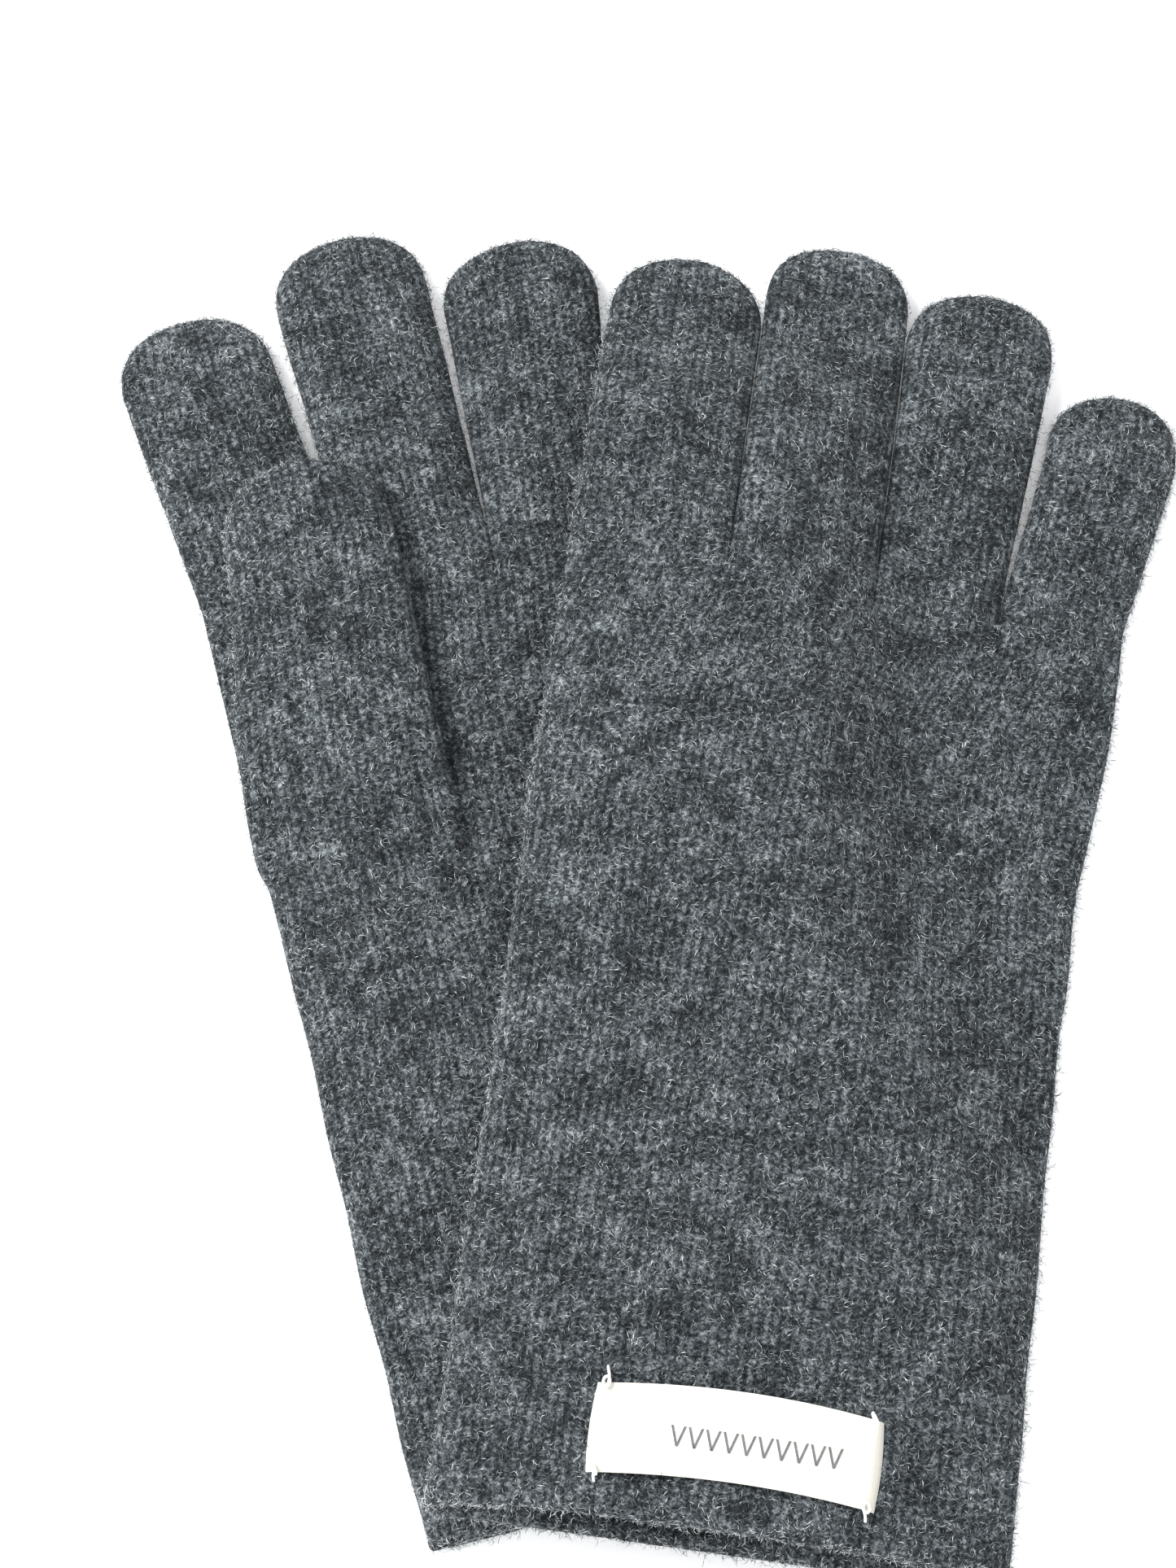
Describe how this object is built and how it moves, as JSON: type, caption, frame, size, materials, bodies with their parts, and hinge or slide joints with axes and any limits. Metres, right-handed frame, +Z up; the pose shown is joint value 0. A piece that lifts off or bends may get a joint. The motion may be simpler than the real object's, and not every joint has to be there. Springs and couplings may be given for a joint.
{
  "type": "pair of knitted gloves",
  "caption": "Pair of plain felted wool gloves lying crossed, the upper one palm down, the lower one palm up with its thumb folded over.",
  "frame": {"origin": "middle of the pair's footprint, on the surface that the pair lies on", "axes": "+Z up from the table, +Y from the cuffs to the fingertips, +X across the pair, towards the upper glove's little finger"},
  "size_m": [0.1966, 0.252, 0.0225],
  "materials": {
    "felted_wool": "milled, heathered charcoal knit",
    "woven_tape": "ivory woven tape",
    "sewing_thread": "white thread"
  },
  "bodies": {
    "left_glove": {"left_hand": "felted_wool", "left_cuff": "felted_wool", "left_cuff_edge": "felted_wool", "left_thumb_gusset": "felted_wool"},
    "right_glove": {"right_hand": "felted_wool", "right_cuff": "felted_wool", "right_cuff_edge": "felted_wool", "right_thumb_gusset": "felted_wool", "label": "woven_tape", "label_tacks": "sewing_thread"},
    "left_thumb": {"left_thumb": "felted_wool"},
    "right_thumb": {"right_thumb": "felted_wool"},
    "left_index_finger": {"left_index_finger": "felted_wool"},
    "left_middle_finger": {"left_middle_finger": "felted_wool"},
    "left_ring_finger": {"left_ring_finger": "felted_wool"},
    "left_little_finger": {"left_little_finger": "felted_wool"},
    "right_index_finger": {"right_index_finger": "felted_wool"},
    "right_middle_finger": {"right_middle_finger": "felted_wool"},
    "right_ring_finger": {"right_ring_finger": "felted_wool"},
    "right_little_finger": {"right_little_finger": "felted_wool"}
  },
  "joints": [
    {"name": "right_glove_lift", "type": "slide", "parent": "left_glove", "child": "right_glove", "axis": [0, 0, 1], "range_m": [0, 0.12]},
    {"name": "left_thumb_lift", "type": "hinge", "parent": "left_glove", "child": "left_thumb", "pos_m": [-0.0512, 0.00753, 0.0142], "axis": [0.9681, 0.2504, 0], "range_deg": [0, 80]},
    {"name": "right_thumb_drop", "type": "hinge", "parent": "right_glove", "child": "right_thumb", "pos_m": [-0.0026, 0.00904, 0.0085], "axis": [-0.9903, 0.1392, 0], "range_deg": [0, 35]},
    {"name": "left_index_curl", "type": "hinge", "parent": "left_glove", "child": "left_index_finger", "pos_m": [-0.06787, 0.05383, 0.0065], "axis": [0.9681, 0.2504, 0], "range_deg": [0, 80]},
    {"name": "left_middle_curl", "type": "hinge", "parent": "left_glove", "child": "left_middle_finger", "pos_m": [-0.04149, 0.06065, 0.0065], "axis": [0.9681, 0.2504, 0], "range_deg": [0, 80]},
    {"name": "left_ring_curl", "type": "hinge", "parent": "left_glove", "child": "left_ring_finger", "pos_m": [-0.01729, 0.06691, 0.0065], "axis": [0.9681, 0.2504, 0], "range_deg": [0, 50]},
    {"name": "left_little_curl", "type": "hinge", "parent": "left_glove", "child": "left_little_finger", "pos_m": [0.00571, 0.07285, 0.0065], "axis": [0.9681, 0.2504, 0], "range_deg": [0, 50]},
    {"name": "right_index_curl", "type": "hinge", "parent": "right_glove", "child": "right_index_finger", "pos_m": [-0.00004, 0.05816, 0.02101], "axis": [0.9903, -0.1392, 0], "range_deg": [0, 90]},
    {"name": "right_middle_curl", "type": "hinge", "parent": "right_glove", "child": "right_middle_finger", "pos_m": [0.02769, 0.05427, 0.02116], "axis": [0.9903, -0.1392, 0], "range_deg": [0, 90]},
    {"name": "right_ring_curl", "type": "hinge", "parent": "right_glove", "child": "right_ring_finger", "pos_m": [0.05245, 0.05079, 0.01065], "axis": [0.9903, -0.1392, 0], "range_deg": [0, 90]},
    {"name": "right_little_curl", "type": "hinge", "parent": "right_glove", "child": "right_little_finger", "pos_m": [0.07522, 0.04759, 0.00659], "axis": [0.9903, -0.1392, 0], "range_deg": [0, 90]}
  ],
  "couplings": [
    {"joint": "right_thumb_drop", "follows": "right_glove_lift", "rad_per_m": 5},
    {"joint": "left_index_curl", "follows": "left_thumb_lift", "ratio": 1},
    {"joint": "left_middle_curl", "follows": "left_thumb_lift", "ratio": 1},
    {"joint": "left_ring_curl", "follows": "right_glove_lift", "rad_per_m": 7.2},
    {"joint": "left_little_curl", "follows": "right_glove_lift", "rad_per_m": 7.2}
  ]
}
